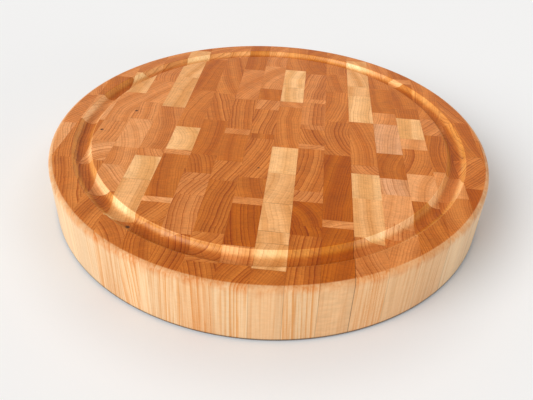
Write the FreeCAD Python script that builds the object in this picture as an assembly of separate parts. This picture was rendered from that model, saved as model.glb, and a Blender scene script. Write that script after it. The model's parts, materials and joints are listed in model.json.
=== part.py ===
"""Round chopping block, glued up from end-grain blocks and turned with a juice groove.

The block stands on the floor plane: the origin is the centre of its underside, +Z is up,
+Y points to the back and the staves run along Y. Sizes are in millimetres.
"""
import FreeCAD
import Part
import math
import os
from dataclasses import dataclass

# Driving dimensions of the turned outline
block_diameter = 380.0
block_thickness = 50.0
top_edge_round = 4.0
bottom_edge_round = 2.0

# Juice groove, cut by a round-nosed cutter that follows the rim
groove_cutter_diameter = 16.0
groove_depth = 5.5
rim_width = 19.0

# Glued slab: the planed width of a stave, and how far right of the middle its centre seam lies
stave_width = 22.25
centre_seam = 5.1

# Tones that the blocks were sorted into
PALE = "pale"
BLUSH = "blush"
HONEY = "honey"
AMBER = "amber"
RUSSET = "russet"


@dataclass(frozen=True)
class Stave:
    """A row of end-grain blocks: its glued joints from back to front, and a tone for each block.

    Joints are measured from the centre line of the disc. The first and the last block run
    out to the rim, so there is one tone more than there are joints.
    """

    joints: tuple
    tones: tuple


# Cutting lists of the staves on each side of the centre seam, from that seam outwards
LEFT_STAVES = (
    Stave((130, 76, 52, 33, -11, -19, -77, -102, -110, -154),
          (HONEY, HONEY, AMBER, HONEY, AMBER, RUSSET, AMBER, RUSSET, HONEY, RUSSET, RUSSET)),
    Stave((118, 50, -6, -15, -57, -84, -144, -172),
          (RUSSET, HONEY, AMBER, HONEY, RUSSET, AMBER, RUSSET, AMBER, RUSSET)),
    Stave((146, 58, 6, -51, -77, -86, -105, -148),
          (HONEY, AMBER, AMBER, AMBER, RUSSET, HONEY, HONEY, HONEY, RUSSET)),
    Stave((137, 62, -10, -47, -54, -111, -117, -138),
          (HONEY, RUSSET, AMBER, PALE, HONEY, RUSSET, HONEY, AMBER, RUSSET)),
    Stave((157, 88, 24, -49, -60, -92, -136), (RUSSET, PALE, PALE, AMBER, HONEY, PALE, PALE, RUSSET)),
    Stave((75, 29, -3, -50, -76, -110), (HONEY, HONEY, HONEY, HONEY, HONEY, HONEY, AMBER)),
    Stave((91, 46, -10, -43, -72), (HONEY, PALE, HONEY, HONEY, HONEY, AMBER)),
    Stave((78, 36, -10, -71), (HONEY, RUSSET, HONEY, AMBER, AMBER)),
    Stave((34, -19), (HONEY, HONEY, HONEY)),
)
RIGHT_STAVES = (
    Stave((124, 83, 52, 41, -30, -68, -106, -137, -149, -173),
          (AMBER, PALE, PALE, HONEY, AMBER, PALE, PALE, PALE, PALE, PALE, RUSSET)),
    Stave((118, 61, 53, 11, 3, -22, -29, -88, -101, -128, -138),
          (RUSSET, HONEY, HONEY, AMBER, HONEY, AMBER, HONEY, AMBER, HONEY, RUSSET, RUSSET, RUSSET)),
    Stave((121, 80, 20, -35, -119, -127), (AMBER, AMBER, AMBER, AMBER, RUSSET, HONEY, RUSSET)),
    Stave((160, 96, 75, 23, -47, -59, -91, -134),
          (HONEY, PALE, PALE, PALE, AMBER, HONEY, PALE, PALE, HONEY)),
    Stave((127, 94, 44, 23, -26, -62, -83, -116, -128),
          (HONEY, AMBER, AMBER, HONEY, BLUSH, RUSSET, BLUSH, HONEY, HONEY, HONEY)),
    Stave((121, 111, 57, 37, 1, -16, -53, -88),
          (RUSSET, HONEY, RUSSET, RUSSET, PALE, HONEY, AMBER, HONEY, RUSSET)),
    Stave((39, 10, -47, -80), (HONEY, HONEY, RUSSET, HONEY, AMBER)),
    Stave((37, -20, -66), (AMBER, RUSSET, AMBER, RUSSET)),
    Stave((8,), (HONEY, RUSSET)),
)

# Sizes that follow from the driving dimensions
block_radius = block_diameter / 2
cutter_radius = groove_cutter_diameter / 2
groove_half_width = math.sqrt(cutter_radius**2 - (cutter_radius - groove_depth) ** 2)
groove_mid_radius = block_radius - rim_width - groove_half_width


def arc_through(start, middle, end):
    """An arc of the turning profile through three (radius, height) points."""
    points = [FreeCAD.Vector(0, radius, height) for radius, height in (start, middle, end)]
    return Part.Arc(*points).toShape()


def straight(start, end):
    """A straight stretch of the turning profile between two (radius, height) points."""
    points = [FreeCAD.Vector(0, radius, height) for radius, height in (start, end)]
    return Part.LineSegment(*points).toShape()


def turned_blank():
    """The outline that the lathe leaves: a disc with a coved groove and eased edges."""
    top = block_thickness
    foot = (block_radius - bottom_edge_round, 0)
    wall_foot = (block_radius, bottom_edge_round)
    wall_head = (block_radius, top - top_edge_round)
    rim = (block_radius - top_edge_round, top)
    outer_lip = (groove_mid_radius + groove_half_width, top)
    groove_floor = (groove_mid_radius, top - groove_depth)
    inner_lip = (groove_mid_radius - groove_half_width, top)
    edge_waist = math.sin(math.pi / 4)
    bottom_waist = bottom_edge_round * (1 - edge_waist)
    top_waist = top_edge_round * (1 - edge_waist)
    profile = [
        straight((0, 0), foot),
        arc_through(foot, (block_radius - bottom_waist, bottom_waist), wall_foot),
        straight(wall_foot, wall_head),
        arc_through(wall_head, (block_radius - top_waist, top - top_waist), rim),
        straight(rim, outer_lip),
        arc_through(outer_lip, groove_floor, inner_lip),
        straight(inner_lip, (0, top)),
        straight((0, top), (0, 0)),
    ]
    section = Part.Face(Part.Wire(profile))
    return section.revolve(FreeCAD.Vector(0, 0, 0), FreeCAD.Vector(0, 0, 1), 360)


def slab_piece(left, front, length):
    """The square-sawn piece of one stave between two joints, full thickness."""
    corner = FreeCAD.Vector(left, front, 0)
    return Part.makeBox(stave_width, length, block_thickness, corner)


def places(staves_to_rim, staves):
    """The count from the centre seam and the cutting list entry of the staves on one side.

    A larger disc reaches past the list, where its outermost entry is used again.
    """
    for count in range(1, math.ceil(staves_to_rim) + 1):
        yield count, staves[min(count, len(staves)) - 1]


def blocks_of(stave, blank, left):
    """The glued blocks of one stave, cut from the turned blank and gathered by tone."""
    row = blank.common(slab_piece(left, -block_radius, block_diameter))
    backs = (block_radius,) + stave.joints
    fronts = stave.joints + (-block_radius,)
    by_tone = {}
    for tone, back, front in zip(stave.tones, backs, fronts):
        if back > front:
            block = row.common(slab_piece(left, front, back - front))
            by_tone.setdefault(tone, []).extend(block.Solids)
    return by_tone


def write_stave(name, stave, blank, left):
    """Write the blocks of one stave, one file for each tone."""
    for tone, solids in blocks_of(stave, blank, left).items():
        if solids:
            Part.makeCompound(solids).exportStep(f"parts/{name}_{tone}.step")


def main():
    """Turn the blank, and cut and write every stave on both sides of the centre seam."""
    os.makedirs("parts", exist_ok=True)
    blank = turned_blank()
    for count, stave in places((block_radius + centre_seam) / stave_width, LEFT_STAVES):
        write_stave(f"stave_left_{count}", stave, blank, centre_seam - count * stave_width)
    for count, stave in places((block_radius - centre_seam) / stave_width, RIGHT_STAVES):
        write_stave(f"stave_right_{count}", stave, blank, centre_seam + (count - 1) * stave_width)


main()
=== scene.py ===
import json
import logging
import math
import random
from dataclasses import dataclass, field
from enum import Enum

import bmesh
import bpy
from bmesh.types import BMEdge, BMesh, BMVert
from bpy.types import Material, Node, NodeSocket, Object, World
from mathutils import Matrix, Vector


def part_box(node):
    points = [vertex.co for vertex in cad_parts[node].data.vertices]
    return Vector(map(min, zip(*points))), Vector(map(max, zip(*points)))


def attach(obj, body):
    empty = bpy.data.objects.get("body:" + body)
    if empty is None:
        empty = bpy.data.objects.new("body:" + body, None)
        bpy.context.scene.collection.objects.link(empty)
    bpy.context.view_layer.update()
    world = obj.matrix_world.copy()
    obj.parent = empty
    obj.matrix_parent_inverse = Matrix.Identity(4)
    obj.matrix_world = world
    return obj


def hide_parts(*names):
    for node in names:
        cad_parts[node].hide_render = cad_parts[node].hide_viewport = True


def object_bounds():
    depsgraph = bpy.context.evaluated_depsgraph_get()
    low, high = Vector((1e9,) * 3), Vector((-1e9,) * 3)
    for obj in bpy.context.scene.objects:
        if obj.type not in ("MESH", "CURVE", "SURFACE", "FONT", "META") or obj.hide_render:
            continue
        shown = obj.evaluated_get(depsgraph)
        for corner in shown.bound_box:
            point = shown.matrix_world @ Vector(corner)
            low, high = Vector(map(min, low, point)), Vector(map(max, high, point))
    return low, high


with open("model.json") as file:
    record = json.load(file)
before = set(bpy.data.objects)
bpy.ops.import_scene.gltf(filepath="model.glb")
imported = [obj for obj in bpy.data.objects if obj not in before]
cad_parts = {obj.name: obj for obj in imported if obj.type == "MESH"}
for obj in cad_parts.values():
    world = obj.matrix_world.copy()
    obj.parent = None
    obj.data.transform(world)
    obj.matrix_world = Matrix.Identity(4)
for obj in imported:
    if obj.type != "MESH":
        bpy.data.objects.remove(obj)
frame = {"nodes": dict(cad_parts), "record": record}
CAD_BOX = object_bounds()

LOG = logging.getLogger("chopping_block")
MM = 0.001
Colour = tuple[float, float, float]
Span = tuple[float, float]
IMAGE_WIDTH = 533

# Closeness in metres: of points that are one, of points to a circle, and of a cut that takes nothing off
WELD = 1e-7
ON_CIRCLE = 1e-5
NO_CUT = 1e-6

# Sockets of a Mix node that mixes colours
MIX_FIRST, MIX_SECOND, MIX_RESULT = 6, 7, 2


def linear(byte: float) -> float:
    """One sRGB byte as linear light."""
    share = byte / 255
    return share / 12.92 if share <= 0.04045 else ((share + 0.055) / 1.055) ** 2.4


def opaque(colour: Colour) -> tuple[float, ...]:
    """A colour that covers fully."""
    return colour + (1.0,)


class Shade(Enum):
    """End-grain colours that the blocks were sorted by, as sRGB bytes."""

    CREAM = (234, 177, 115)
    PALE = (226, 164, 102)
    BLUSH = (219, 155, 105)
    STRAW = (223, 151, 91)
    GOLD = (215, 138, 75)
    HONEY = (206, 127, 64)
    AMBER = (200, 118, 50)
    RUSSET = (188, 105, 36)
    UMBER = (175, 89, 16)

    def colour(self) -> Vector:
        """The shade in linear light."""
        return Vector([linear(byte) for byte in self.value])


class Bow(Enum):
    """How growth rings bend: the distance in mm to their centre, on the right if positive."""

    STRAIGHT = 420
    WIDE_RIGHT = 130
    WIDE_LEFT = -130
    ROUND_RIGHT = 62
    ROUND_LEFT = -62
    TIGHT_RIGHT = 30
    TIGHT_LEFT = -30


class Mark(Enum):
    """How darkly the growth rings stand out, and their spacing in mm."""

    FAINT = (0.34, 2.4)
    SOFT = (0.56, 2.2)
    CLEAR = (0.82, 2.7)
    STRONG = (1.05, 3.3)


class SideGrain(Enum):
    """How a block's upright side looks: how streaked, how warm and how curly its grain is."""

    PLAIN = (0.22, 0.05, 0.25)
    BUFF = (0.35, 0.58, 0.25)
    LINED = (0.80, 0.16, 0.10)
    WARM = (1.00, 0.58, 0.15)
    CURLY = (0.25, 0.75, 1.00)


CREAM, PALE, BLUSH, STRAW, GOLD, HONEY, AMBER, RUSSET, UMBER = Shade
STRAIGHT, WIDE_RIGHT, WIDE_LEFT, ROUND_RIGHT, ROUND_LEFT, TIGHT_RIGHT, TIGHT_LEFT = Bow
FAINT, SOFT, CLEAR, STRONG = Mark
PLAIN, BUFF, LINED, WARM, CURLY = SideGrain


@dataclass(frozen=True)
class Look:
    """How one block looks.

    Args:
        shade: The colour it was sorted by.
        run: How its ring lines run in its middle, in degrees from +X.
        bow: How its ring lines bend.
        mark: How strong its rings are.
        open_joint: Whether the joint at its front has opened to a dark line.
        open_seam: Whether the seam at its right has opened to a dark line.
        knot: A pin knot as x, y and radius in mm.
        side: How its upright side looks, where it has one in view.
    """

    shade: Shade
    run: float
    bow: Bow = STRAIGHT
    mark: Mark = SOFT
    open_joint: bool = False
    open_seam: bool = False
    knot: tuple[float, float, float] | None = None
    side: SideGrain | None = None


# Each stave from left to right, its blocks from back to front
LOOKS: tuple[tuple[Look, ...], ...] = (
    (
        Look(HONEY, 90, WIDE_RIGHT), Look(HONEY, 50, STRAIGHT, CLEAR),
        Look(STRAW, 120, STRAIGHT, CLEAR, side=PLAIN),
    ),
    (
        Look(GOLD, 60), Look(RUSSET, 110, WIDE_RIGHT), Look(STRAW, 65, ROUND_RIGHT),
        Look(AMBER, 105, STRAIGHT, CLEAR), Look(AMBER, 120, STRAIGHT, CLEAR, side=PLAIN),
    ),
    (
        Look(HONEY, 50, WIDE_RIGHT, CLEAR), Look(PALE, 85, STRAIGHT, FAINT), Look(GOLD, 70, ROUND_RIGHT),
        Look(GOLD, 90, WIDE_LEFT, CLEAR, knot=(-147, -26, 1.6)), Look(STRAW, 35, ROUND_RIGHT, STRONG),
        Look(AMBER, 115, STRAIGHT, CLEAR, side=PLAIN),
    ),
    (
        Look(HONEY, 45, ROUND_RIGHT, CLEAR), Look(GOLD, 60, WIDE_RIGHT),
        Look(GOLD, 95, STRAIGHT, CLEAR, knot=(-127, 11, 1.6)), Look(STRAW, 115, WIDE_LEFT),
        Look(GOLD, 100, ROUND_LEFT), Look(STRAW, 135, open_joint=True),
        Look(AMBER, 85, WIDE_RIGHT, CLEAR, side=PLAIN),
    ),
    (
        Look(RUSSET, 90), Look(PALE, 70, STRAIGHT, FAINT), Look(PALE, 85, STRAIGHT, FAINT),
        Look(HONEY, 100, WIDE_LEFT), Look(GOLD, 120, ROUND_RIGHT, CLEAR),
        Look(CREAM, 100, ROUND_LEFT, FAINT, open_joint=True), Look(PALE, 90, STRAIGHT, FAINT),
        Look(AMBER, 115, ROUND_LEFT, CLEAR, knot=(-87, -141, 1.9), side=LINED),
    ),
    (
        Look(HONEY, 30, ROUND_RIGHT, STRONG), Look(RUSSET, 85), Look(AMBER, 80, WIDE_RIGHT),
        Look(CREAM, 105, TIGHT_LEFT, FAINT), Look(GOLD, 175, STRAIGHT, CLEAR), Look(RUSSET, 100),
        Look(STRAW, 150, TIGHT_RIGHT), Look(AMBER, 60, STRAIGHT, CLEAR),
        Look(RUSSET, 105, WIDE_RIGHT, CLEAR, side=LINED),
    ),
    (
        Look(HONEY, 50, TIGHT_RIGHT, CLEAR), Look(AMBER, 105), Look(AMBER, 105, STRAIGHT, STRONG),
        Look(RUSSET, 90, WIDE_LEFT), Look(RUSSET, 105, ROUND_LEFT, STRONG),
        Look(HONEY, 60, ROUND_LEFT, STRONG), Look(HONEY, 65, STRAIGHT, STRONG),
        Look(HONEY, 95, WIDE_RIGHT, STRONG), Look(RUSSET, 85, ROUND_LEFT, STRONG, side=LINED),
    ),
    (
        Look(RUSSET, 85), Look(HONEY, 60, WIDE_RIGHT), Look(AMBER, 95, STRAIGHT, STRONG), Look(HONEY, 65),
        Look(RUSSET, 90, WIDE_RIGHT, FAINT), Look(AMBER, 70, STRAIGHT, STRONG),
        Look(RUSSET, 80, STRAIGHT, STRONG), Look(AMBER, 40, TIGHT_LEFT, STRONG),
        Look(RUSSET, 110, STRAIGHT, STRONG, side=WARM),
    ),
    (
        Look(HONEY, 70, ROUND_RIGHT), Look(GOLD, 60, ROUND_RIGHT), Look(RUSSET, 95, ROUND_LEFT, FAINT),
        Look(GOLD, 75, STRAIGHT, CLEAR), Look(AMBER, 80, STRAIGHT, STRONG), Look(RUSSET, 90),
        Look(AMBER, 75, WIDE_LEFT, STRONG, knot=(-3, -63, 1.0)), Look(RUSSET, 100, WIDE_RIGHT),
        Look(HONEY, 20, TIGHT_LEFT), Look(UMBER, 100, WIDE_RIGHT, STRONG), Look(GOLD, 88, STRAIGHT, CLEAR),
        Look(RUSSET, 65, ROUND_RIGHT, STRONG, side=LINED),
    ),
    (
        Look(AMBER, 95), Look(CREAM, 80, ROUND_RIGHT, FAINT), Look(CREAM, 90, WIDE_RIGHT, FAINT),
        Look(HONEY, 135, TIGHT_LEFT), Look(AMBER, 95, WIDE_RIGHT), Look(CREAM, 90, STRAIGHT, FAINT),
        Look(PALE, 80, WIDE_LEFT, FAINT, open_joint=True),
        Look(PALE, 100, WIDE_LEFT, FAINT, open_joint=True),
        Look(PALE, 100, STRAIGHT, FAINT, open_joint=True), Look(PALE, 75, STRAIGHT, FAINT),
        Look(RUSSET, 60, side=BUFF),
    ),
    (
        Look(RUSSET, 70, TIGHT_RIGHT), Look(HONEY, 80, STRAIGHT, STRONG), Look(GOLD, 75, STRAIGHT, CLEAR),
        Look(HONEY, 90, WIDE_RIGHT, STRONG), Look(HONEY, 105, STRAIGHT, CLEAR),
        Look(AMBER, 110, WIDE_RIGHT, STRONG), Look(GOLD, 20, TIGHT_LEFT, CLEAR),
        Look(AMBER, 80, WIDE_LEFT, STRONG), Look(HONEY, 65, TIGHT_LEFT, STRONG),
        Look(UMBER, 120, TIGHT_LEFT), Look(UMBER, 105, TIGHT_LEFT, STRONG),
        Look(RUSSET, 85, STRAIGHT, STRONG, side=LINED),
    ),
    (
        Look(AMBER, 65, ROUND_RIGHT), Look(AMBER, 100), Look(AMBER, 80, WIDE_LEFT),
        Look(AMBER, 100, ROUND_RIGHT, STRONG), Look(UMBER, 80), Look(GOLD, 25, TIGHT_RIGHT),
        Look(UMBER, 80, open_seam=True, side=CURLY),
    ),
    (
        Look(HONEY, 15), Look(PALE, 105, WIDE_LEFT, FAINT), Look(PALE, 85, WIDE_RIGHT, FAINT),
        Look(CREAM, 85), Look(AMBER, 100, WIDE_LEFT), Look(HONEY, 125, TIGHT_RIGHT, CLEAR),
        Look(CREAM, 90, STRAIGHT, FAINT), Look(PALE, 90, STRAIGHT, FAINT),
        Look(HONEY, 110, STRAIGHT, CLEAR, side=WARM),
    ),
    (
        Look(HONEY, 100), Look(AMBER, 90), Look(RUSSET, 95, STRAIGHT, FAINT), Look(GOLD, 80, ROUND_LEFT),
        Look(BLUSH, 80), Look(RUSSET, 80, ROUND_RIGHT), Look(BLUSH, 95), Look(STRAW, 80, STRAIGHT, FAINT),
        Look(STRAW, 85, WIDE_LEFT, STRONG), Look(HONEY, 80, side=BUFF),
    ),
    (
        Look(RUSSET, 95), Look(GOLD, 140, ROUND_RIGHT), Look(RUSSET, 105, WIDE_LEFT, FAINT),
        Look(RUSSET, 90, STRAIGHT, CLEAR), Look(CREAM, 85, WIDE_RIGHT, FAINT),
        Look(STRAW, 85, WIDE_RIGHT, FAINT), Look(AMBER, 75, ROUND_LEFT, CLEAR),
        Look(STRAW, 75, ROUND_RIGHT, FAINT), Look(RUSSET, 105, STRAIGHT, CLEAR, side=BUFF),
    ),
    (
        Look(AMBER, 100, WIDE_LEFT), Look(HONEY, 50, STRAIGHT, STRONG), Look(RUSSET, 85, WIDE_RIGHT, CLEAR),
        Look(GOLD, 75, ROUND_RIGHT, FAINT), Look(AMBER, 130, ROUND_RIGHT, side=PLAIN),
    ),
    (
        Look(AMBER, 110, STRAIGHT, CLEAR), Look(RUSSET, 100, STRAIGHT, CLEAR),
        Look(AMBER, 45, STRAIGHT, CLEAR), Look(UMBER, 100, side=PLAIN),
    ),
    (
        Look(HONEY, 100), Look(RUSSET, 100),
    ),
)

# Joints that only the grain shows, because the groove's outer lip hides them, by stave from the left
LIP_JOINTS: dict[int, tuple[float, ...]] = {9: (-170.3 * MM,)}


class Signal:
    """A number in a material's node graph; arithmetic on it adds Math nodes."""

    def __init__(self, graph: "Graph", socket: NodeSocket) -> None:
        """Wraps one output socket of a graph."""
        self.graph = graph
        self.socket = socket

    def _math(self, operation: str, *values: "Signal | float") -> "Signal":
        """Adds one Math node, with its inputs in order."""
        node = self.graph.add("ShaderNodeMath", {"operation": operation}, dict(enumerate(values)))
        return Signal(self.graph, node.outputs[0])

    def __add__(self, other: "Signal | float") -> "Signal":
        """Sum."""
        return self._math("ADD", self, other)

    __radd__ = __add__

    def __mul__(self, other: "Signal | float") -> "Signal":
        """Product."""
        return self._math("MULTIPLY", self, other)

    __rmul__ = __mul__

    def __sub__(self, other: "Signal | float") -> "Signal":
        """Difference."""
        return self._math("SUBTRACT", self, other)

    def __rsub__(self, other: float) -> "Signal":
        """Difference from a number."""
        return self._math("SUBTRACT", other, self)

    def __truediv__(self, other: "Signal | float") -> "Signal":
        """Quotient."""
        return self._math("DIVIDE", self, other)

    def __abs__(self) -> "Signal":
        """Size without sign."""
        return self._math("ABSOLUTE", self)

    def root(self) -> "Signal":
        """Square root."""
        return self._math("SQRT", self)

    def whole(self) -> "Signal":
        """Rounded down."""
        return self._math("FLOOR", self)

    def part(self) -> "Signal":
        """What is left after rounding down."""
        return self._math("FRACT", self)

    def least(self, other: "Signal | float") -> "Signal":
        """The smaller of two."""
        return self._math("MINIMUM", self, other)

    def centred(self) -> "Signal":
        """How far it is from the middle of 0 to 1."""
        return self - 0.5

    def lifted(self, share: float) -> "Signal":
        """Squeezed into the upper share of 0 to 1."""
        return self * share + (1 - share)

    def angle_from(self, across: "Signal") -> "Signal":
        """The angle whose tangent is this over another."""
        return self._math("ARCTAN2", self, across)

    def ramp(self, low: "Signal | float", high: "Signal | float") -> "Signal":
        """A smooth step from 0 at the low value to 1 at the high one."""
        node = self.graph.add(
            "ShaderNodeMapRange",
            {"interpolation_type": "SMOOTHSTEP"},
            {"Value": self, "From Min": low, "From Max": high},
        )
        return Signal(self.graph, node.outputs["Result"])


class Graph:
    """The node graph of a material or of the world."""

    def __init__(self, owner: Material | World, shader: str) -> None:
        """Opens the graph.

        Args:
            owner: The material or the world.
            shader: The name of the shader node that it starts with.
        """
        owner.use_nodes = True
        self.tree = owner.node_tree
        self.shader = self.tree.nodes[shader]

    def add(self, kind: str, settings: dict | None = None, inputs: dict | None = None) -> Node:
        """Adds one node.

        Args:
            kind: The node's type.
            settings: Its properties, which are set first.
            inputs: Values or links of its sockets, by name or number.

        Returns:
            The new node.
        """
        node = self.tree.nodes.new(kind)
        for name, value in (settings or {}).items():
            setattr(node, name, value)
        for key, value in (inputs or {}).items():
            self.feed(node.inputs[key], value)
        return node

    def feed(self, socket: NodeSocket, value: object) -> None:
        """Links a value into a socket, or sets it there.

        Args:
            socket: The input socket.
            value: A Signal, another node's output, or a constant.
        """
        if isinstance(value, Signal):
            value = value.socket
        if isinstance(value, NodeSocket):
            self.tree.links.new(value, socket)
        else:
            socket.default_value = value

    def vector(
        self, operation: str, first: object, second: object = None, scale: object = None
    ) -> NodeSocket:
        """A Vector Math node.

        Args:
            operation: The node's operation.
            first: Its first vector.
            second: Its second vector, where it takes one.
            scale: Its factor, where it takes one.

        Returns:
            The resulting vector.
        """
        inputs = {0: first}
        if second is not None:
            inputs[1] = second
        if scale is not None:
            inputs["Scale"] = scale
        return self.add("ShaderNodeVectorMath", {"operation": operation}, inputs).outputs[0]

    def mix(self, share: object, first: object, second: object) -> NodeSocket:
        """A colour between two others, by the share of the second."""
        inputs = {0: share, MIX_FIRST: first, MIX_SECOND: second}
        return self.add("ShaderNodeMix", {"data_type": "RGBA"}, inputs).outputs[MIX_RESULT]

    def split(self, vector: NodeSocket) -> tuple[Signal, Signal, Signal]:
        """The three numbers of a vector."""
        outputs = self.add("ShaderNodeSeparateXYZ", None, {0: vector}).outputs
        return Signal(self, outputs[0]), Signal(self, outputs[1]), Signal(self, outputs[2])

    def join(self, x: object, y: object, z: object) -> NodeSocket:
        """A vector of three numbers."""
        return self.add("ShaderNodeCombineXYZ", None, {0: x, 1: y, 2: z}).outputs[0]

    def attribute(self, name: str) -> NodeSocket:
        """A vector stored on the mesh."""
        return self.add("ShaderNodeAttribute", {"attribute_name": name}).outputs["Vector"]

    def noise(self, place: NodeSocket, scale: float, detail: float) -> Signal:
        """Cloudy noise around 0.5, by its fineness and its finer layers."""
        node = self.add("ShaderNodeTexNoise", None, {"Vector": place, "Scale": scale, "Detail": detail})
        return Signal(self, node.outputs["Fac"])

    def noise_along(self, place: Signal, scale: float) -> Signal:
        """Noise along one number, around 0.5."""
        inputs = {"W": place, "Scale": scale, "Detail": 1.0}
        node = self.add("ShaderNodeTexNoise", {"noise_dimensions": "1D"}, inputs)
        return Signal(self, node.outputs["Fac"])

    def chance(self, place: Signal) -> Signal:
        """A fixed random share for each number."""
        node = self.add("ShaderNodeTexWhiteNoise", {"noise_dimensions": "1D"}, {"W": place})
        return Signal(self, node.outputs["Value"])


class BlockGrain:
    """The growth of a block, at each point of its surface."""

    # Steps that give each pattern of a block a draw of its own
    PLACE_STEPS = (37, 61, 11)
    SHIVER_STEP, LEAN_STEP, UNEVEN_STEP, RING_STEP = 5, 7, 9, 5
    # How much slower patterns change along the fibres than across them
    FIBRE_STRETCH = 0.03
    # How far the long and the short waves of a ring reach, in mm
    SWAY, SHIVER = 5.0, 0.9
    # How far rings lean for each mm of depth, and how far one shifts between its neighbours, in rings
    LEAN, UNEVEN = 0.12, 1.6
    # The width of a ring's dark line in mm, and how many fine lines a ring has
    LINE_WIDTH, FINE_LINES = 1.10, 3
    # How dark a ring's line, the dusk before it and its fine lines are
    LINE, DUSK, FINE = 0.95, 0.42, 0.18
    # How much a line fades in places, and how much the lines and the dusk of two rings differ
    FADING, LINE_SPREAD, DUSK_SPREAD = 0.50, 0.60, 0.70
    # Where in its run a fine line is darkest
    DARKEST = 0.95

    def __init__(self, g: Graph, face_height: float) -> None:
        """Reads the block's own numbers from its mesh and lays its rings.

        Args:
            g: The material's node graph.
            face_height: The height of the cutting face in mm.
        """
        self.g = g
        coordinates = g.add("ShaderNodeTexCoord").outputs
        self.x, self.y, self.z = g.split(g.vector("SCALE", coordinates["Object"], scale=1 / MM))
        self.facing = abs(g.split(coordinates["Normal"])[2])
        self.strength, self.seed, reach = g.split(g.attribute("figure"))
        self.left, self.right, self.seam_open = g.split(g.attribute("seams"))
        self.back, self.front, self.joint_open = g.split(g.attribute("joints"))
        pith_x, pith_y, self.spacing = g.split(g.attribute("pith"))
        out_x, out_y, self.side_tone = g.split(g.attribute("outward"))
        step_x, step_y, step_z = self.PLACE_STEPS
        self.place = g.join(
            self.x + self.seed * step_x,
            self.y + self.seed * step_y,
            self.z * self.FIBRE_STRETCH + self.seed * step_z,
        )
        self.tint = g.attribute("tint")
        self.cloud = self.through(fineness=0.10, detail=3).centred()
        self.pores = self.through(fineness=1.9, detail=1).ramp(low=0.58, high=0.74)
        away_x, away_y = self.x - pith_x, self.y - pith_y
        radius = (away_x * away_x + away_y * away_y).root()
        turn = (away_y * out_x - away_x * out_y).angle_from(away_x * out_x + away_y * out_y)
        self.arc = turn * reach
        sway = self.round_rings(radius, along=0.030, across=0.008)
        shiver = self.round_rings(radius, along=0.20, across=0.05, step=self.SHIVER_STEP)
        lean = (self.z - face_height) * g.chance(self.seed + self.LEAN_STEP).centred()
        self.distance = radius + sway * self.SWAY + shiver * self.SHIVER + lean * self.LEAN
        self.rings = self._rings()

    def _rings(self) -> Signal:
        """How dark the growth rings are.

        Returns:
            A share from 0 to 1.
        """
        g, seed = self.g, self.seed
        count = self.distance / self.spacing
        count = count + g.noise_along(count + seed * self.UNEVEN_STEP, 0.35).centred() * self.UNEVEN
        ring = count.part()
        each = g.chance(count.whole() + seed * self.RING_STEP)
        whole = self.through(fineness=0.09, detail=1).ramp(low=0.30, high=0.66)
        line = 1 - ((1 - ring) * self.spacing).ramp(low=0.0, high=self.LINE_WIDTH)
        line = line * each.lifted(self.LINE_SPREAD) * whole.lifted(self.FADING)
        dusk = ring.ramp(low=0.0, high=1.0) * each.lifted(self.DUSK_SPREAD)
        fine_ring = (count * self.FINE_LINES).part()
        fine = fine_ring.ramp(low=0.35, high=self.DARKEST) * (1 - fine_ring.ramp(self.DARKEST, 1.0))
        return (self.strength * (line * self.LINE + dusk * self.DUSK + fine * self.FINE)).least(1.0)

    def through(self, fineness: float, detail: float) -> Signal:
        """Noise through the block, around 0.5."""
        return self.g.noise(self.place, fineness, detail)

    def round_rings(self, radius: Signal, along: float, across: float, step: float = 0.0) -> Signal:
        """Noise that follows the rings, to both sides of 0, by its fineness along and across them."""
        place = self.g.join(self.arc * along, radius * across, self.seed + step)
        return self.g.noise(place, 1.0, 1.0).centred()

    def up_fibres(self, along: float, across: float, detail: float) -> Signal:
        """Noise that follows the fibres up the side, around 0.5, by its fineness along and across them."""
        place = self.g.join(self.x * across, self.y * across, self.z * along + self.seed)
        return self.g.noise(place, 1.0, detail)


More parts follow.
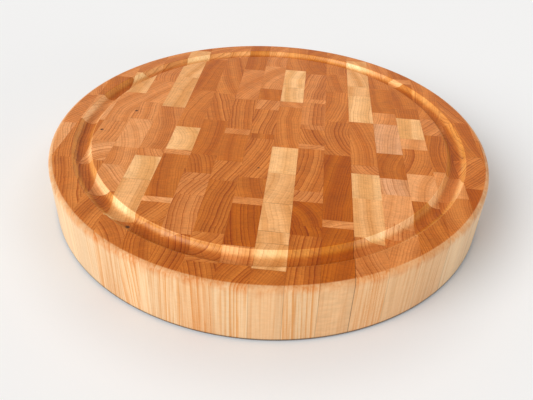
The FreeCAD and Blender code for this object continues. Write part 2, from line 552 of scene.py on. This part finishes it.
@dataclass(frozen=True)
class OiledWood:
    """Oiled timber cut across its fibres on top and along them at the side.

    Args:
        name: The material's name.
        line_tint: What a ring's dark line does to the wood's colour.
        deep_tint: What the deeper-coloured bands of rings do to it.
        light_tint: What the lighter bands of rings do to it.
        slant_and_sheen: What a slanting cut does to the colour of the groove's walls, partly the paler wood
            of a slanting cut and partly a painted sheen.
        groove_shade: Painted shade that darkens the groove's floor, where shade falls in the recess.
        groove_shade_depth: The depths in mm at which that painted shade is full and at which it ends.
        groove_shade_floor: The depths in mm under the groove between which it ends too.
        side: The pale side grain, in linear light.
        rim: The side grain near the cutting face, where oil soaks in.
        soak_height: The heights in mm over that face at which it starts and at which it is full.
        streak_tint: What a streak does to the side grain's colour.
        contact_shadow: Painted contact shadow that darkens the bottom edge, where it meets the table.
        contact_shadow_height: The heights in mm at which that painted shadow is full and at which it ends.
        knot: The colour of a pin knot, in linear light.
        face_height: The height of the cutting face in mm.
        rim_edge: The radii in mm past which an upright surface is side grain.
        blotch: How unevenly oil soaks in at the rim, in mm.
        seam_weight: How dark a seam is on the side.
        open_weight: How dark an opened joint or seam is.
        knot_weight: How much a pin knot covers the wood.
        roughness: The sheen of the oiled surface.
        gloss: How strongly the surface mirrors its surroundings.
        film: How thick the oil lies on the groove's slanting walls.
        film_roughness: The roughness of that film.
        relief: The depth of the open grain in metres.
        relief_strength: How much of it shows.
    """

    name: str
    line_tint: Colour = (0.57, 0.37, 0.20)
    deep_tint: Colour = (0.90, 0.81, 0.68)
    light_tint: Colour = (1.10, 1.16, 1.28)
    # Paler slanting walls: partly the wood of a slanting cut, partly a painted sheen
    slant_and_sheen: Colour = (1.28, 1.78, 2.35)
    # Painted shade in the groove: its tint, and the depths over which it lies
    groove_shade: Colour = (0.86, 0.78, 0.66)
    groove_shade_depth: Span = (5.0, 1.5)
    groove_shade_floor: Span = (7.0, 6.0)
    side: Colour = (0.795, 0.563, 0.333)
    rim: Colour = (0.80, 0.445, 0.200)
    soak_height: Span = (-8.0, 2.0)
    streak_tint: Colour = (0.84, 0.56, 0.32)
    # Painted contact shadow at the bottom edge: its tint, and the heights over which it lies
    contact_shadow: Colour = (0.10, 0.085, 0.075)
    contact_shadow_height: Span = (1.4, 3.2)
    knot: Colour = (0.060, 0.022, 0.010)
    face_height: float = 50.0
    rim_edge: Span = (178.0, 180.0)
    blotch: float = 14.0
    seam_weight: float = 0.12
    open_weight: float = 0.6
    knot_weight: float = 0.95
    roughness: float = 0.45
    gloss: float = 0.14
    film: float = 0.30
    film_roughness: float = 0.30
    relief: float = 0.00008
    relief_strength: float = 0.4

    # Steps that give a block's bands and glue lines a draw of their own
    BAND_STEP, GLUE_STEP = 50, 3

    def build(self) -> Material:
        """Makes the material.

        Returns:
            A material that reads each block's tint, rings and seams from the mesh.
        """
        material = bpy.data.materials.new(self.name)
        g = Graph(material, "Principled BSDF")
        grain = BlockGrain(g, self.face_height)
        radius = (grain.x * grain.x + grain.y * grain.y).root()
        outside = radius.ramp(*self.rim_edge)
        upright = (1 - grain.facing.ramp(low=0.965, high=0.997)) * outside

        wood = g.mix(upright, self.end_colour(grain), self.side_colour(grain))
        glue = self.glue_lines(grain, upright)
        joint, seam = self.open_joints(grain)
        spot = self.knot_spot(grain)
        opened = (1 - joint * self.open_weight) * (1 - seam * self.open_weight)
        wood = g.vector("SCALE", wood, scale=(1 - glue) * opened)
        wood = g.mix(spot, wood, opaque(self.knot))

        height = grain.cloud * 0.3 - grain.rings * 0.3 - grain.pores * 0.35 - glue - joint - seam - spot
        relief = {"Strength": self.relief_strength, "Distance": self.relief, "Height": height}
        bump = g.add("ShaderNodeBump", None, relief)
        roughness = grain.cloud * 0.14 + grain.pores * 0.06 - grain.rings * 0.04 + self.roughness
        film = (1 - grain.facing).ramp(low=0.08, high=0.40) * (1 - outside) * self.film
        g.feed(g.shader.inputs["Base Color"], wood)
        g.feed(g.shader.inputs["Roughness"], roughness)
        g.feed(g.shader.inputs["Normal"], bump.outputs["Normal"])
        g.feed(g.shader.inputs["Coat Weight"], film)
        g.shader.inputs["Coat Roughness"].default_value = self.film_roughness
        g.shader.inputs["Specular IOR Level"].default_value = self.gloss
        return material

    def end_colour(self, grain: BlockGrain) -> NodeSocket:
        """The colour across the fibres.

        Args:
            grain: The block's growth.

        Returns:
            The colour.
        """
        g = grain.g
        band = g.noise_along(grain.distance + grain.seed * self.BAND_STEP, 0.075).ramp(low=0.28, high=0.72)
        bands = g.mix(band, opaque(self.deep_tint), opaque(self.light_tint))
        end = g.vector("MULTIPLY", grain.tint, bands)
        end = g.mix(grain.rings, end, g.vector("MULTIPLY", end, self.line_tint))
        mottle = grain.through(fineness=0.80, detail=2).centred()
        ray = grain.round_rings(grain.distance, along=0.95, across=0.13)
        level = grain.cloud * 0.42 + mottle * 0.34 + ray * 0.44 - grain.pores * 0.08 + 1.14
        end = g.vector("SCALE", end, scale=level)
        # Partly real and partly painted highlight: slanting walls are made paler, as a slanting cut is, and
        # paler still as a painted sheen
        slanting = (1 - grain.facing).ramp(low=0.03, high=0.30)
        end = g.mix(slanting, end, g.vector("MULTIPLY", end, self.slant_and_sheen))
        # Painted shade: the groove's floor and the foot of its walls are darkened, where shade falls in the
        # recess
        above_floor = grain.z.ramp(*(self.face_height - depth for depth in self.groove_shade_floor))
        groove_shaded = 1 - grain.z.ramp(*(self.face_height - depth for depth in self.groove_shade_depth))
        return g.mix(groove_shaded * above_floor, end, g.vector("MULTIPLY", end, self.groove_shade))

    def side_colour(self, grain: BlockGrain) -> NodeSocket:
        """The colour along the fibres.

        Args:
            grain: The block's growth.

        Returns:
            The colour.
        """
        g = grain.g
        streaked, warmth, curled = g.split(g.attribute("side_grain"))
        side = g.mix(warmth * 0.85, opaque(self.side), opaque(self.rim))
        blotch = grain.up_fibres(along=0.10, across=0.16, detail=2).centred() * self.blotch
        soak = (grain.z + blotch).ramp(*(self.face_height + height for height in self.soak_height))
        side = g.mix(soak, side, g.mix(0.35, opaque(self.rim), grain.tint))
        hair = grain.up_fibres(along=0.02, across=0.6, detail=4).ramp(low=0.40, high=0.74)
        patch = grain.up_fibres(along=0.01, across=0.11, detail=1).ramp(low=0.32, high=0.64)
        streaks = grain.rings * (streaked * 1.5 + 0.1) * (patch * 0.9 + 0.2)
        streaks = (streaks + hair * (streaked * 0.40 + 0.30)).least(1.0)
        side = g.mix(streaks, side, g.vector("MULTIPLY", side, self.streak_tint))
        fleck = grain.up_fibres(along=0.9, across=0.25, detail=2).centred()
        curl = grain.up_fibres(along=0.40, across=0.09, detail=2).centred() * curled
        level = grain.cloud * 0.30 + fleck * 0.16 + curl * 0.30 + 1.02
        side = g.vector("SCALE", side, scale=level * grain.side_tone)
        # Painted contact shadow: the bottom edge is darkened where it meets the table
        return g.mix(grain.z.ramp(*self.contact_shadow_height), g.vector("MULTIPLY", side, self.contact_shadow), side)

    def glue_lines(self, grain: BlockGrain, upright: Signal) -> Signal:
        """How dark the glue lines round a block are.

        Args:
            grain: The block's growth.
            upright: Where side grain shows.

        Returns:
            A share, below 0 where the glue is paler than the wood.
        """
        seam_gap = abs(grain.x - grain.left).least(abs(grain.x - grain.right))
        joint_gap = abs(grain.y - grain.back).least(abs(grain.y - grain.front))
        tone = grain.g.chance(grain.seed + self.GLUE_STEP) * 0.36 - 0.10
        glue = (1 - seam_gap.least(joint_gap).ramp(low=0.04, high=0.30)) * tone
        return glue + (1 - seam_gap.ramp(low=0.06, high=0.60)) * upright * self.seam_weight

    def open_joints(self, grain: BlockGrain) -> tuple[Signal, Signal]:
        """The opened joint at a block's front and the opened seam at its right.

        Args:
            grain: The block's growth.

        Returns:
            How open the joint and the seam are.
        """
        ragged = grain.through(fineness=0.35, detail=2) * 0.5
        joint = 1 - abs(grain.y - grain.front).ramp(low=0.05, high=ragged + 0.22)
        seam = 1 - abs(grain.x - grain.right).ramp(low=0.08, high=ragged + 0.25)
        return joint * grain.joint_open, seam * grain.seam_open

    def knot_spot(self, grain: BlockGrain) -> Signal:
        """Where a pin knot covers the wood.

        Args:
            grain: The block's growth.

        Returns:
            How much it covers, from 0 to 1.
        """
        x, y, radius = grain.g.split(grain.g.attribute("knot"))
        away_x, away_y = grain.x - x, grain.y - y
        gap = (away_x * away_x + away_y * away_y).root()
        gap = gap + grain.through(fineness=1.1, detail=2).centred()
        return (1 - (gap / radius).ramp(low=0.45, high=1.2)) * self.knot_weight


@dataclass
class TurnedOutline:
    """The blank as the lathe leaves it: a thick disc with a coved groove and eased edges.

    Args:
        radius: The disc's radius.
        thickness: The disc's thickness.
        top_round: The round of the top edge.
        top_steps: Its facets.
        bottom_round: The round of the bottom edge.
        bottom_steps: Its facets.
        lip_round: The round of the groove's lips.
        lip_steps: Its facets.
        cutter_radius: The radius of the groove's cove.
        cove_steps: Its facets.
        groove_depth: How deep the groove is cut.
        rim_width: How far in from the rim the groove starts.
        turns: How many facets the disc has all round.
    """

    radius: float
    thickness: float
    top_round: float = 4 * MM
    top_steps: int = 8
    bottom_round: float = 2 * MM
    bottom_steps: int = 4
    lip_round: float = 0.7 * MM
    lip_steps: int = 3
    cutter_radius: float = 8 * MM
    cove_steps: int = 20
    groove_depth: float = 5.5 * MM
    rim_width: float = 19 * MM
    turns: int = 288

    @property
    def groove_half_width(self) -> float:
        """Half the groove's width at the cutting face."""
        return math.sqrt(self.cutter_radius**2 - (self.cutter_radius - self.groove_depth) ** 2)

    @property
    def groove_mid_radius(self) -> float:
        """The radius of the groove's deepest line."""
        return self.radius - self.rim_width - self.groove_half_width

    def blank(self) -> BMesh:
        """Turns the outline.

        Returns:
            A closed mesh with one face each for the top and the underside.
        """
        bm = bmesh.new()
        lip = bm.verts.new((self.groove_mid_radius - self.groove_half_width, 0, self.thickness))
        centre = (self.groove_mid_radius, 0, self.thickness + self.cutter_radius - self.groove_depth)
        sweep = 2 * math.asin(self.groove_half_width / self.cutter_radius)
        cove = bmesh.ops.spin(
            bm, geom=[lip], cent=centre, axis=(0, -1, 0), angle=sweep, steps=self.cove_steps
        )
        last = [item for item in cove["geom_last"] if isinstance(item, BMVert)][0]
        for height in (self.thickness, 0.0):
            corner = bm.verts.new((self.radius, 0, height))
            bm.edges.new((last, corner))
            last = corner
        bmesh.ops.spin(
            bm, geom=bm.verts[:] + bm.edges[:], cent=(0, 0, 0), axis=(0, 0, 1),
            angle=math.tau, steps=self.turns, use_merge=True,
        )
        bmesh.ops.remove_doubles(bm, verts=bm.verts[:], dist=WELD)
        bmesh.ops.holes_fill(bm, edges=bm.edges[:], sides=0)
        bmesh.ops.recalc_face_normals(bm, faces=bm.faces[:])
        self._ease(bm, self.radius, self.thickness, self.top_round, self.top_steps)
        self._ease(bm, self.radius, 0.0, self.bottom_round, self.bottom_steps)
        for side in (-1, 1):
            lip_radius = self.groove_mid_radius + side * self.groove_half_width
            self._ease(bm, lip_radius, self.thickness, self.lip_round, self.lip_steps)
        return bm

    def _ease(self, bm: BMesh, radius: float, height: float, size: float, steps: int) -> None:
        """Rounds one circular edge.

        Args:
            bm: The turned mesh.
            radius: The edge's radius.
            height: The edge's height.
            size: How far the round reaches along each face.
            steps: How many facets it has.
        """

        def on_edge(vert: BMVert) -> bool:
            """Whether a vertex is on that circle."""
            off = abs(vert.co.xy.length - radius), abs(vert.co.z - height)
            return max(off) < ON_CIRCLE

        edges = [edge for edge in bm.edges if on_edge(edge.verts[0]) and on_edge(edge.verts[1])]
        bmesh.ops.bevel(
            bm, geom=edges, offset=size, offset_type="OFFSET", segments=steps, profile=0.5,
            affect="EDGES", material=-1, clamp_overlap=False,
        )


@dataclass
class Stave:
    """One row of glued blocks, read from its solids.

    Args:
        nodes: The solids' objects, by node name.
        reach: How far a joint may be from the centre line.
        back_faces: The node of each glued face that looks to the back, by its place.
        front_faces: The node of each glued face that looks to the front, by its place.
    """

    nodes: dict[str, Object]
    reach: float
    back_faces: dict[float, str] = field(default_factory=dict)
    front_faces: dict[float, str] = field(default_factory=dict)

    # The least share of a glued face's normal along Y, and the digits that tell joints apart
    SQUARE = 0.99999
    JOINT_DIGITS = 4
    # A place past the rim, in metres
    PAST_RIM = 1.0

    def __post_init__(self) -> None:
        """Finds the seams and the glued faces that look to the back and to the front."""
        boxes = [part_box(name) for name in self.nodes]
        self.left = min(low.x for low, _ in boxes)
        self.right = max(high.x for _, high in boxes)
        for name, solid in self.nodes.items():
            for face in solid.data.polygons:
                if abs(face.normal.y) > self.SQUARE and abs(face.center.y) < self.reach:
                    found = self.back_faces if face.normal.y > 0 else self.front_faces
                    found[round(face.center.y, self.JOINT_DIGITS)] = name

    def joints(self) -> list[float]:
        """The glued joints, from back to front."""
        return sorted(set(self.back_faces) | set(self.front_faces), reverse=True)

    def blocks(self, lip_joints: tuple[float, ...]) -> list[tuple[str, float, float]]:
        """The blocks, from back to front.

        Args:
            lip_joints: Joints inside a solid that only the grain shows.

        Returns:
            The node, the back joint and the front joint of each block.
        """
        joints = self.joints()
        owners = [self.front_faces[joints[0]]] + [self.back_faces[joint] for joint in joints]
        for lip_joint in lip_joints:
            place = sum(joint > lip_joint for joint in joints)
            joints.insert(place, lip_joint)
            owners.insert(place, owners[place])
        return list(zip(owners, [self.PAST_RIM] + joints, joints + [-self.PAST_RIM]))


@dataclass(frozen=True)
class Spread:
    """How far blocks with the same look differ.

    Args:
        run: The turn of the ring lines, in degrees.
        bow: The share of the distance to the rings' centre.
        tone: The share of the colour.
        spacing: The share of the rings' spacing.
        pattern: The number that a block's noise starts from.
        side_tone: The share of the side grain's brightness.
    """

    run: Span = (-3, 3)
    bow: Span = (0.9, 1.15)
    tone: Span = (0.98, 1.02)
    spacing: Span = (0.8, 1.2)
    pattern: Span = (0, 10)
    side_tone: Span = (0.94, 1.06)


@dataclass
class ChoppingBlock:
    """The whole block: every glued piece, cut from the turned blank and dressed.

    Args:
        nodes: The solids, by node name.
        outline: The turned outline.
        spread: How far blocks with the same look differ.
        body: The body that the pieces ride on.
        smooth_angle: The angle up to which neighbouring faces are shaded as one.
        flat: How close to square a normal is on a face that is shaded flat.
        pieces: The meshes, by node name.
    """

    nodes: dict[str, Object]
    outline: TurnedOutline
    spread: Spread = Spread()
    body: str = "root"
    smooth_angle: float = math.radians(40)
    flat: float = 1e-4
    pieces: dict[str, BMesh] = field(default_factory=dict)

    LAYERS = ("tint", "pith", "figure", "outward", "seams", "joints", "knot", "side_grain")
    # More than the blocks of any stave, so that every block has its own number
    STAVE_STEP = 100
    # A pin knot far outside the rim, for blocks that have none
    NO_KNOT = (1e4, 1e4, 1)

    def build(self) -> list[Object]:
        """Cuts, joins and dresses the blocks.

        Returns:
            One object for each node.
        """
        blank = self.outline.blank()
        for number, (stave, looks) in enumerate(zip(self.staves(), LOOKS, strict=True), start=1):
            self.cut_stave(blank, stave, looks, number)
        blank.free()
        names = [material["slot"] for material in frame["record"]["materials"]]
        woods = {name: OiledWood(name).build() for name in names}
        slots = {part["node"]: part["material_slot"] for part in frame["record"]["subparts"]}
        return [self.finish(name, bm, slots[name], woods[slots[name]]) for name, bm in self.pieces.items()]

    def staves(self) -> list[Stave]:
        """The rows of blocks, from left to right."""
        rows: dict[str, dict[str, Object]] = {}
        for name, solid in sorted(self.nodes.items()):
            rows.setdefault(name.rpartition("_")[0], {})[name] = solid
        reach = self.outline.radius - self.outline.top_round
        staves = [Stave(nodes, reach) for nodes in rows.values()]
        return sorted(staves, key=lambda stave: stave.left)

    def cut_stave(self, blank: BMesh, stave: Stave, looks: tuple[Look, ...], number: int) -> None:
        """Cuts one stave and then its blocks, and gathers them by node.

        Args:
            blank: The turned blank.
            stave: The stave to cut.
            looks: How its blocks look, from back to front.
            number: Its place from the left.
        """
        row = blank.copy()
        self.cut(row, Vector((stave.left, 0, 0)), Vector((-1, 0, 0)))
        self.cut(row, Vector((stave.right, 0, 0)), Vector((1, 0, 0)))
        blocks = stave.blocks(LIP_JOINTS.get(number, ()))
        for place, (look, (node, back, front)) in enumerate(zip(looks, blocks, strict=True)):
            block = row.copy()
            self.cut(block, Vector((0, back, 0)), Vector((0, 1, 0)))
            self.cut(block, Vector((0, front, 0)), Vector((0, -1, 0)))
            bmesh.ops.recalc_face_normals(block, faces=block.faces[:])
            values = self.values(look, stave, back, front, self.STAVE_STEP * number + place)
            self.gather(node, block, values)
            block.free()
        row.free()

    def cut(self, bm: BMesh, point: Vector, outward: Vector) -> None:
        """Saws off what lies beyond a plane and closes the cut.

        Args:
            bm: The mesh to cut.
            point: A point of the plane.
            outward: The side that is taken off.
        """
        if max((vert.co - point).dot(outward) for vert in bm.verts) < NO_CUT:
            return
        done = bmesh.ops.bisect_plane(
            bm, geom=bm.verts[:] + bm.edges[:] + bm.faces[:], dist=WELD,
            plane_co=point, plane_no=outward, clear_outer=True,
        )
        edges = [item for item in done["geom_cut"] if isinstance(item, BMEdge)]
        bmesh.ops.contextual_create(bm, geom=edges)

    def values(self, look: Look, stave: Stave, back: float, front: float, seed: int) -> dict[str, Vector]:
        """What the wood needs to know about one block, in mm.

        Args:
            look: How the block looks.
            stave: The stave it is in.
            back: Its back joint.
            front: Its front joint.
            seed: The block's own number.

        Returns:
            A vector for each layer of the mesh.
        """
        draw = random.Random(seed)
        spread, limit = self.spread, self.outline.radius
        length_middle = (min(back, limit) + max(front, -limit)) / 2
        middle = Vector(((stave.left + stave.right) / 2, length_middle)) / MM
        run = math.radians(look.run + draw.uniform(*spread.run))
        reach = look.bow.value * draw.uniform(*spread.bow)
        pith = middle + Vector((math.sin(run), -math.cos(run))) * reach
        outward = (middle - pith).normalized()
        strength, spacing = look.mark.value
        return {
            "tint": look.shade.colour() * draw.uniform(*spread.tone),
            "pith": Vector((pith.x, pith.y, spacing * draw.uniform(*spread.spacing))),
            "figure": Vector((strength, draw.uniform(*spread.pattern), abs(reach))),
            "outward": Vector((outward.x, outward.y, draw.uniform(*spread.side_tone))),
            "seams": Vector((stave.left / MM, stave.right / MM, float(look.open_seam))),
            "joints": Vector((back / MM, front / MM, float(look.open_joint))),
            "knot": Vector(look.knot or self.NO_KNOT),
            "side_grain": Vector((look.side or draw.choice(tuple(SideGrain))).value),
        }

    def gather(self, node: str, block: BMesh, values: dict[str, Vector]) -> None:
        """Adds a block to its node's mesh with its own values.

        Args:
            node: The node's name.
            block: The block's mesh.
            values: A vector for each layer.
        """
        if node not in self.pieces:
            self.pieces[node] = bmesh.new()
            for name in self.LAYERS:
                self.pieces[node].verts.layers.float_vector.new(name)
        piece = self.pieces[node]
        before = len(piece.verts)
        carrier = bpy.data.meshes.new("carrier")
        block.to_mesh(carrier)
        piece.from_mesh(carrier)
        bpy.data.meshes.remove(carrier)
        piece.verts.ensure_lookup_table()
        for name, value in values.items():
            layer = piece.verts.layers.float_vector[name]
            for vert in piece.verts[before:]:
                vert[layer] = value

    def finish(self, name: str, bm: BMesh, slot: str, wood: Material) -> Object:
        """Makes the object of one node.

        Args:
            name: The node's name.
            bm: Its mesh.
            slot: Its material slot; not used.
            wood: Its material.

        Returns:
            The dressed object.
        """
        for face in bm.faces:
            face.smooth = max(abs(share) for share in face.normal) < 1 - self.flat
        for edge in bm.edges:
            edge.smooth = edge.calc_face_angle(0.0) < self.smooth_angle
        mesh = bpy.data.meshes.new(name + "_wood")
        bm.to_mesh(mesh)
        bm.free()
        mesh.materials.append(wood)
        piece = bpy.data.objects.new(name + "_wood", mesh)
        bpy.context.scene.collection.objects.link(piece)
        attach(piece, self.body)
        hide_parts(name)
        LOG.info("%s: %d faces", piece.name, len(mesh.polygons))
        return piece


@dataclass(frozen=True)
class PaleTable:
    """The table's matte finish, plain but for a painted shadow round the block.

    Args:
        far: Its colour, in linear light.
        painted_shadow: A painted shadow: the table's darker, cooler colour close to the block.
        shadow_fade: The distances in metres between which the painted shadow turns into the far colour.
        forward: How far in front of the block's centre those are measured from, in metres.
        roughness: Its sheen.
        gloss: How strongly it mirrors its surroundings.
    """

    far: Colour = (0.930, 0.931, 0.930)
    # Painted shadow round the block, and the distances over which it fades out
    painted_shadow: Colour = (0.795, 0.808, 0.822)
    shadow_fade: Span = (0.186, 0.238)
    forward: float = 0.010
    roughness: float = 0.7
    gloss: float = 0.0

    def build(self) -> Material:
        """Makes the material.

        Returns:
            A material with a painted shadow, a little darker and cooler close to the block.
        """
        material = bpy.data.materials.new("pale_table")
        g = Graph(material, "Principled BSDF")
        x, y, _ = g.split(g.add("ShaderNodeTexCoord").outputs["Object"])
        y = y + self.forward
        # Painted shadow: the table is darker and cooler close to the block, where its shadow falls
        unshadowed = (x * x + y * y).root().ramp(*self.shadow_fade)
        g.feed(g.shader.inputs["Base Color"], g.mix(unshadowed, opaque(self.painted_shadow), opaque(self.far)))
        g.shader.inputs["Roughness"].default_value = self.roughness
        g.shader.inputs["Specular IOR Level"].default_value = self.gloss
        return material


@dataclass(frozen=True)
class Lamp:
    """A distant lamp.

    Args:
        name: The lamp's name.
        toward: The direction to it.
        level: The share of white that it gives a level surface.
        spread: How wide it looks, in degrees.
    """

    name: str
    toward: tuple[float, float, float]
    level: float
    spread: float


@dataclass
class Studio:
    """The pale table, the soft light and the camera.

    Args:
        finish: The table's finish.
        floor_size: Half the table's width, in metres.
        sky_colour: The colour of the light from all round.
        sky_strength: How strongly that light shines.
        sky_seen: How bright it looks.
        lamps: The lamps.
        camera_place: Where the camera stands, in metres.
        camera_yaw: How far it turns to the right.
        camera_pitch: How far it looks down.
        camera_roll: How far it leans.
        lens: Its focal length in mm.
        film_width: The width of its picture in mm.
        nearest: The distance in metres from which it sees.
        optical_centre_up: How far its axis lies above the picture's middle, in widths.
    """

    finish: PaleTable = PaleTable()
    floor_size: float = 12.0
    sky_colour: Colour = (1.0, 0.985, 0.97)
    sky_strength: float = 0.55
    sky_seen: float = 0.90
    lamps: tuple[Lamp, ...] = (
        Lamp("key", toward=(-0.58, -0.45, 0.46), level=0.39, spread=42),
        Lamp("fill", toward=(0.88, -0.42, 0.16), level=0.021, spread=16),
    )
    camera_place: tuple[float, float, float] = (0.0321, -0.4223, 0.3091)
    camera_yaw: float = math.radians(-4.72)
    camera_pitch: float = math.radians(32.73)
    camera_roll: float = math.radians(2.33)
    lens: float = 37.0
    film_width: float = 36.0
    nearest: float = 0.01
    optical_centre_up: float = 60 / IMAGE_WIDTH

    def build(self) -> None:
        """Sets up the table, the light and the camera."""
        bpy.context.scene.view_settings.view_transform = "Standard"
        self.table()
        self.sky()
        for lamp in self.lamps:
            self.light(lamp)
        self.camera()

    def table(self) -> Object:
        """A plain pale table.

        Returns:
            The table's object.
        """
        bm = bmesh.new()
        bmesh.ops.create_grid(bm, x_segments=1, y_segments=1, size=self.floor_size)
        mesh = bpy.data.meshes.new("table")
        bm.to_mesh(mesh)
        bm.free()
        mesh.materials.append(self.finish.build())
        table = bpy.data.objects.new("table", mesh)
        bpy.context.scene.collection.objects.link(table)
        LOG.info("table: pale floor")
        return table

    def sky(self) -> None:
        """Even light from all round, which looks paler than it shines."""
        world = bpy.data.worlds.new("soft_sky")
        g = Graph(world, "Background")
        rays = g.add("ShaderNodeLightPath").outputs
        seen = Signal(g, rays["Is Camera Ray"]) + Signal(g, rays["Is Glossy Ray"])
        seen = (seen + Signal(g, rays["Is Transmission Ray"])).least(1.0)
        g.feed(g.shader.inputs["Color"], opaque(self.sky_colour))
        g.feed(g.shader.inputs["Strength"], seen * (self.sky_seen - self.sky_strength) + self.sky_strength)
        bpy.context.scene.world = world

    def light(self, lamp: Lamp) -> Object:
        """A distant lamp.

        Args:
            lamp: Where it stands and how bright it is.

        Returns:
            The lamp's object.
        """
        direction = Vector(lamp.toward).normalized()
        sun = bpy.data.lights.new(lamp.name, "SUN")
        sun.energy = lamp.level * math.pi / direction.z
        sun.angle = math.radians(lamp.spread)
        light = bpy.data.objects.new(lamp.name, sun)
        light.rotation_euler = direction.to_track_quat("Z", "Y").to_euler()
        bpy.context.scene.collection.objects.link(light)
        return light

    def camera(self) -> Object:
        """The camera, where the photograph was taken from.

        Returns:
            The camera's object.
        """
        yaw, pitch, roll = self.camera_yaw, self.camera_pitch, self.camera_roll
        ahead = math.cos(pitch)
        forward = Vector((math.sin(yaw) * ahead, math.cos(yaw) * ahead, -math.sin(pitch)))
        level = forward.cross(Vector((0, 0, 1))).normalized()
        rise = level.cross(forward)
        right = math.cos(roll) * level + math.sin(roll) * rise
        up = math.cos(roll) * rise - math.sin(roll) * level
        turn = Matrix((right, up, -forward)).transposed()
        lens = bpy.data.cameras.new("camera")
        lens.lens = self.lens
        lens.sensor_width = self.film_width
        lens.shift_y = -self.optical_centre_up
        lens.clip_start = self.nearest
        camera = bpy.data.objects.new("camera", lens)
        camera.matrix_world = Matrix.Translation(self.camera_place) @ turn.to_4x4()
        bpy.context.scene.collection.objects.link(camera)
        bpy.context.scene.camera = camera
        return camera


def main() -> None:
    """Builds the block and its studio."""
    logging.basicConfig(level=logging.INFO, format="%(name)s %(message)s")
    _, high = CAD_BOX
    outline = TurnedOutline(radius=high[1], thickness=high[2])
    pieces = ChoppingBlock(frame["nodes"], outline).build()
    Studio().build()
    LOG.info("%d pieces", len(pieces))


if __name__ == "__main__":
    main()
